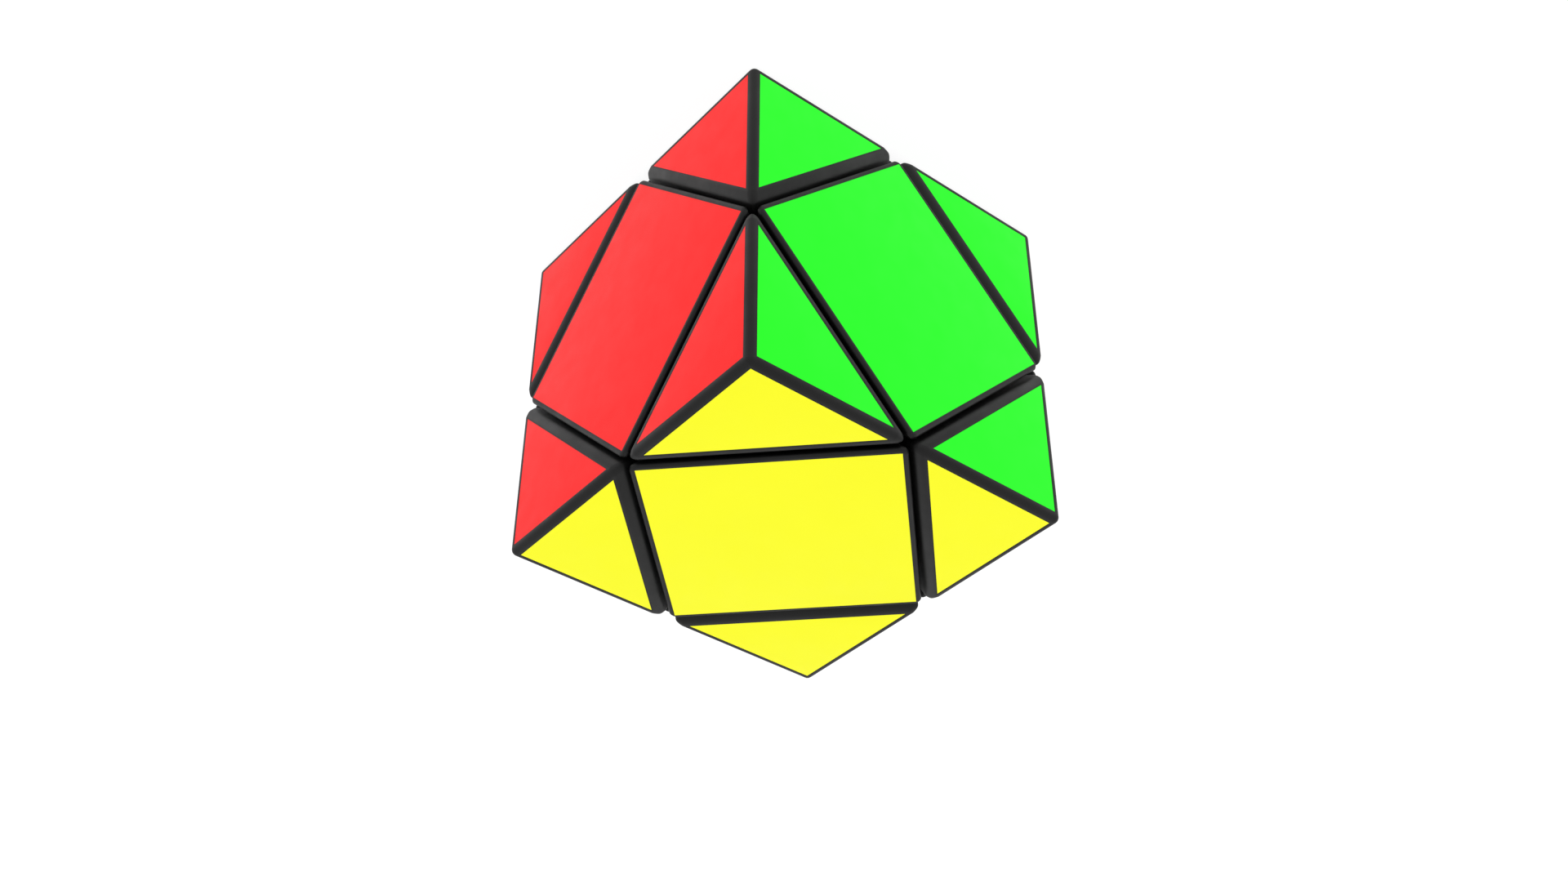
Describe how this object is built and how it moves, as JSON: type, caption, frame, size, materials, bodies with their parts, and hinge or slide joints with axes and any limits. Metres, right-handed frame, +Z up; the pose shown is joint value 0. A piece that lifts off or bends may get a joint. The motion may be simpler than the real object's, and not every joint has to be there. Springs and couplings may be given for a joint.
{
  "type": "corner-turning cube puzzle",
  "caption": "Cube-shaped mechanical puzzle whose corners and square centres turn in halves about the body diagonals.",
  "frame": {"origin": "middle of the bottom face, which the cube stands on", "axes": "+Z up out of the yellow face, +X out of the red face, -Y out of the green face"},
  "size_m": [0.06, 0.06, 0.06],
  "materials": {
    "black_plastic": "fine satin moulded",
    "core_plastic": "slippery, moulded",
    "screw_steel": "zinc plated",
    "spring_steel": "drawn wire",
    "washer_steel": "stamped",
    "red_panel": "smooth satin, coloured through",
    "orange_panel": "smooth satin, coloured through",
    "green_panel": "smooth satin, coloured through",
    "blue_panel": "smooth satin, coloured through",
    "yellow_panel": "smooth satin, coloured through",
    "white_panel": "smooth satin, coloured through"
  },
  "bodies": {
    "core": {"core_spider": "core_plastic", "tension_springs": "spring_steel", "spring_washers": "washer_steel"},
    "screw_top_front_right": {"tension_screw_top_front_right": "screw_steel"},
    "corner_top_front_right": {"axis_corner_foot_top_front_right": "black_plastic", "corner_shell_top_front_right": "black_plastic", "red_panel_top_front_right": "red_panel", "green_panel_top_front_right": "green_panel", "yellow_panel_top_front_right": "yellow_panel"},
    "screw_top_back_left": {"tension_screw_top_back_left": "screw_steel"},
    "corner_top_back_left": {"axis_corner_foot_top_back_left": "black_plastic", "corner_shell_top_back_left": "black_plastic", "orange_panel_top_back_left": "orange_panel", "blue_panel_top_back_left": "blue_panel", "yellow_panel_top_back_left": "yellow_panel"},
    "screw_bottom_back_right": {"tension_screw_bottom_back_right": "screw_steel"},
    "corner_bottom_back_right": {"axis_corner_foot_bottom_back_right": "black_plastic", "corner_shell_bottom_back_right": "black_plastic", "red_panel_bottom_back_right": "red_panel", "blue_panel_bottom_back_right": "blue_panel", "white_panel_bottom_back_right": "white_panel"},
    "screw_bottom_front_left": {"tension_screw_bottom_front_left": "screw_steel"},
    "corner_bottom_front_left": {"axis_corner_foot_bottom_front_left": "black_plastic", "corner_shell_bottom_front_left": "black_plastic", "orange_panel_bottom_front_left": "orange_panel", "green_panel_bottom_front_left": "green_panel", "white_panel_bottom_front_left": "white_panel"},
    "centre_top": {"centre_base_top": "black_plastic", "yellow_centre_panel": "yellow_panel"},
    "centre_right": {"centre_base_right": "black_plastic", "red_centre_panel": "red_panel"},
    "centre_front": {"centre_base_front": "black_plastic", "green_centre_panel": "green_panel"},
    "centre_back": {"centre_base_back": "black_plastic", "blue_centre_panel": "blue_panel"},
    "centre_left": {"centre_base_left": "black_plastic", "orange_centre_panel": "orange_panel"},
    "centre_bottom": {"centre_base_bottom": "black_plastic", "white_centre_panel": "white_panel"},
    "corner_bottom_back_left": {"free_corner_foot_bottom_back_left": "black_plastic", "corner_shell_bottom_back_left": "black_plastic", "orange_panel_bottom_back_left": "orange_panel", "blue_panel_bottom_back_left": "blue_panel", "white_panel_bottom_back_left": "white_panel"},
    "corner_bottom_front_right": {"free_corner_foot_bottom_front_right": "black_plastic", "corner_shell_bottom_front_right": "black_plastic", "red_panel_bottom_front_right": "red_panel", "green_panel_bottom_front_right": "green_panel", "white_panel_bottom_front_right": "white_panel"},
    "corner_top_front_left": {"free_corner_foot_top_front_left": "black_plastic", "corner_shell_top_front_left": "black_plastic", "orange_panel_top_front_left": "orange_panel", "green_panel_top_front_left": "green_panel", "yellow_panel_top_front_left": "yellow_panel"},
    "corner_top_back_right": {"free_corner_foot_top_back_right": "black_plastic", "corner_shell_top_back_right": "black_plastic", "red_panel_top_back_right": "red_panel", "blue_panel_top_back_right": "blue_panel", "yellow_panel_top_back_right": "yellow_panel"}
  },
  "joints": [
    {"name": "half_turn_top_front_right", "type": "hinge", "parent": "core", "child": "corner_top_front_right", "pos_m": [0, 0, 0.03], "axis": [0.5774, -0.5774, 0.5774], "range_deg": [-240, 240]},
    {"name": "half_turn_top_back_left", "type": "hinge", "parent": "core", "child": "corner_top_back_left", "pos_m": [0, 0, 0.03], "axis": [-0.5774, 0.5774, 0.5774], "range_deg": [-120, 240]},
    {"name": "half_turn_bottom_back_right", "type": "hinge", "parent": "core", "child": "corner_bottom_back_right", "pos_m": [0, 0, 0.03], "axis": [0.5774, 0.5774, -0.5774], "range_deg": [-120, 240]},
    {"name": "half_turn_bottom_front_left", "type": "hinge", "parent": "core", "child": "corner_bottom_front_left", "pos_m": [0, 0, 0.03], "axis": [-0.5774, -0.5774, -0.5774], "range_deg": [-120, 240]},
    {"name": "screw_turn_top_front_right", "type": "hinge", "parent": "core", "child": "screw_top_front_right", "pos_m": [0, 0, 0.03], "axis": [0.5774, -0.5774, 0.5774], "range_deg": [-180, 180]},
    {"name": "screw_turn_top_back_left", "type": "hinge", "parent": "core", "child": "screw_top_back_left", "pos_m": [0, 0, 0.03], "axis": [-0.5774, 0.5774, 0.5774], "range_deg": [-180, 180]},
    {"name": "screw_turn_bottom_back_right", "type": "hinge", "parent": "core", "child": "screw_bottom_back_right", "pos_m": [0, 0, 0.03], "axis": [0.5774, 0.5774, -0.5774], "range_deg": [-180, 180]},
    {"name": "screw_turn_bottom_front_left", "type": "hinge", "parent": "core", "child": "screw_bottom_front_left", "pos_m": [0, 0, 0.03], "axis": [-0.5774, -0.5774, -0.5774], "range_deg": [-180, 180]},
    {"name": "centre_turn_top", "type": "hinge", "parent": "corner_top_front_right", "child": "centre_top", "pos_m": [0, 0, 0.03], "axis": [-0.5774, 0.5774, 0.5774], "range_deg": [-120, 240]},
    {"name": "centre_turn_right", "type": "hinge", "parent": "corner_top_front_right", "child": "centre_right", "pos_m": [0, 0, 0.03], "axis": [0.5774, 0.5774, -0.5774], "range_deg": [-120, 240]},
    {"name": "centre_turn_front", "type": "hinge", "parent": "corner_top_front_right", "child": "centre_front", "pos_m": [0, 0, 0.03], "axis": [-0.5774, -0.5774, -0.5774], "range_deg": [-120, 240]},
    {"name": "centre_turn_back", "type": "hinge", "parent": "corner_top_back_left", "child": "centre_back", "pos_m": [0, 0, 0.03], "axis": [0.5774, 0.5774, -0.5774], "range_deg": [-120, 240]},
    {"name": "centre_turn_left", "type": "hinge", "parent": "corner_bottom_front_left", "child": "centre_left", "pos_m": [0, 0, 0.03], "axis": [-0.5774, 0.5774, 0.5774], "range_deg": [-120, 240]},
    {"name": "centre_turn_bottom", "type": "hinge", "parent": "corner_bottom_back_right", "child": "centre_bottom", "pos_m": [0, 0, 0.03], "axis": [-0.5774, -0.5774, -0.5774], "range_deg": [-120, 240]},
    {"name": "corner_turn_bottom_back_left", "type": "hinge", "parent": "centre_back", "child": "corner_bottom_back_left", "pos_m": [0, 0, 0.03], "axis": [-0.5774, -0.5774, -0.5774], "range_deg": [-120, 240]},
    {"name": "corner_turn_bottom_front_right", "type": "hinge", "parent": "centre_right", "child": "corner_bottom_front_right", "pos_m": [0, 0, 0.03], "axis": [-0.5774, -0.5774, -0.5774], "range_deg": [-120, 240]},
    {"name": "corner_turn_top_front_left", "type": "hinge", "parent": "centre_front", "child": "corner_top_front_left", "pos_m": [0, 0, 0.03], "axis": [-0.5774, 0.5774, 0.5774], "range_deg": [-120, 240]},
    {"name": "corner_turn_top_back_right", "type": "hinge", "parent": "centre_top", "child": "corner_top_back_right", "pos_m": [0, 0, 0.03], "axis": [0.5774, 0.5774, -0.5774], "range_deg": [-120, 240]}
  ],
  "couplings": [
    {"joint": "centre_turn_top", "follows": "half_turn_top_back_left", "ratio": 1},
    {"joint": "centre_turn_right", "follows": "half_turn_bottom_back_right", "ratio": 1},
    {"joint": "centre_turn_front", "follows": "half_turn_bottom_front_left", "ratio": 1},
    {"joint": "centre_turn_back", "follows": "half_turn_bottom_back_right", "ratio": 1},
    {"joint": "centre_turn_left", "follows": "half_turn_top_back_left", "ratio": 1},
    {"joint": "centre_turn_bottom", "follows": "half_turn_bottom_front_left", "ratio": 1},
    {"joint": "corner_turn_bottom_back_left", "follows": "half_turn_bottom_front_left", "ratio": 1},
    {"joint": "corner_turn_bottom_front_right", "follows": "half_turn_bottom_front_left", "ratio": 1},
    {"joint": "corner_turn_top_front_left", "follows": "half_turn_top_back_left", "ratio": 1},
    {"joint": "corner_turn_top_back_right", "follows": "half_turn_bottom_back_right", "ratio": 1}
  ]
}
